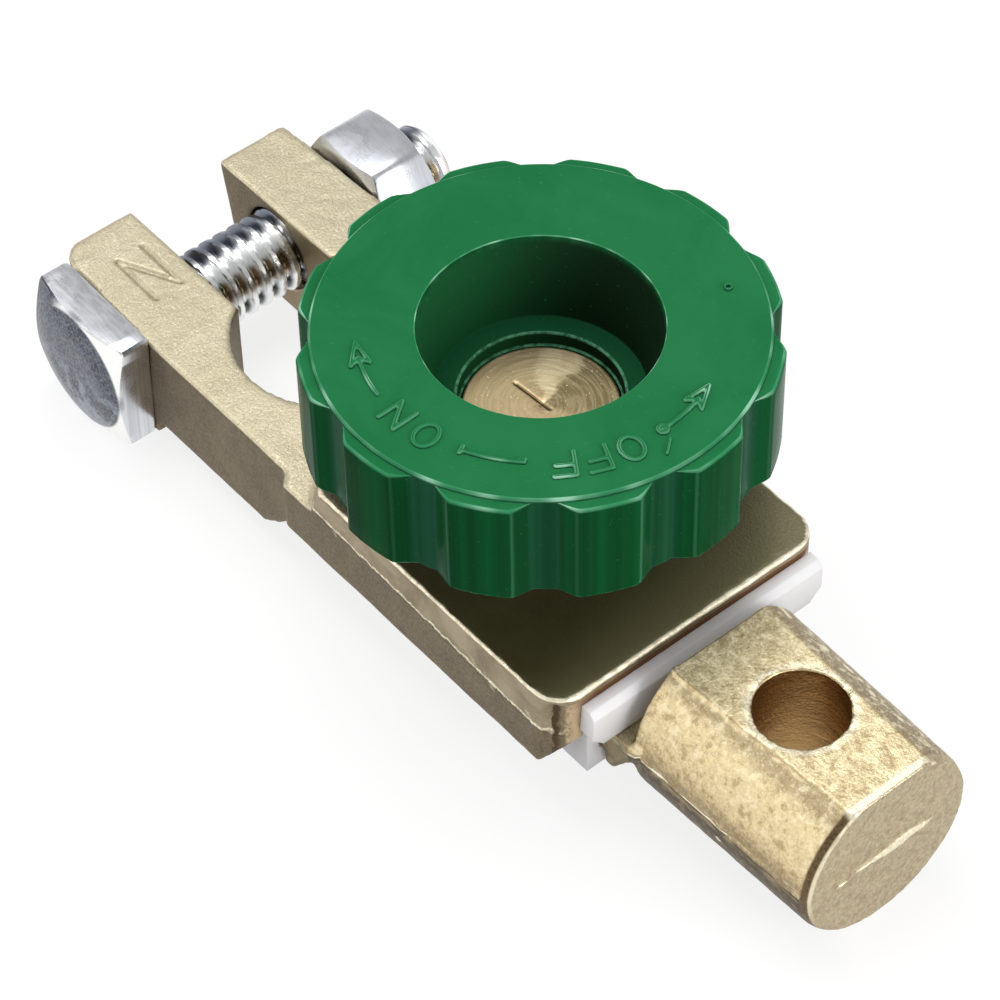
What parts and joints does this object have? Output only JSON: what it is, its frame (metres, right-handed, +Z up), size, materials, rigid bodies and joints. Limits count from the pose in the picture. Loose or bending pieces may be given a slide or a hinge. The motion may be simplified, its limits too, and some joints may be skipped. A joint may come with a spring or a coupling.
{
  "type": "battery disconnect switch",
  "caption": "Post clamp with a split collar and pinch bolt, joined through a screw-down contact knob to an insulated round cable post.",
  "frame": {"origin": "on the axis of the battery-post bore, at the underside of the collar", "axes": "+Z up along the bore axis, +X towards the cable post, +Y towards the nut of the pinch bolt"},
  "size_m": [0.0942, 0.0429, 0.0357],
  "materials": {
    "cast_brass": "sand cast, tumbled, satin",
    "turned_brass": "turned, bright",
    "zinc_plate": "bright zinc plating",
    "nylon": "natural white nylon, satin",
    "green_plastic": "moulded, glossy"
  },
  "bodies": {
    "base": {"clamp_body": "cast_brass", "upper_insulator": "nylon", "lower_insulator": "nylon", "cable_post": "cast_brass", "rivet_1": "turned_brass", "rivet_2": "turned_brass", "rivet_washer_1": "zinc_plate", "rivet_washer_2": "zinc_plate"},
    "washer": {"contact_washer": "turned_brass"},
    "knob": {"knob": "green_plastic", "contact_stud": "turned_brass"},
    "bolt": {"pinch_bolt": "zinc_plate"},
    "nut": {"pinch_nut": "zinc_plate"}
  },
  "joints": [
    {"name": "knob_lift", "type": "slide", "parent": "base", "child": "washer", "axis": [0, 0, 1], "range_m": [0, 0.00525]},
    {"name": "knob_turn", "type": "hinge", "parent": "washer", "child": "knob", "pos_m": [0.0284, 0, 0.02], "axis": [0, 0, 1], "range_deg": [0, 1080]},
    {"name": "bolt_slide", "type": "slide", "parent": "base", "child": "bolt", "axis": [0, -1, 0], "range_m": [0, 0.0032]},
    {"name": "nut_turn", "type": "hinge", "parent": "base", "child": "nut", "pos_m": [-0.0154, 0.0165, 0.00475], "axis": [0, 1, 0], "range_deg": [0, 720]}
  ],
  "couplings": [
    {"joint": "knob_lift", "follows": "knob_turn", "m_per_rad": 0.00027852},
    {"joint": "bolt_slide", "follows": "nut_turn", "m_per_rad": 0.00025465}
  ]
}
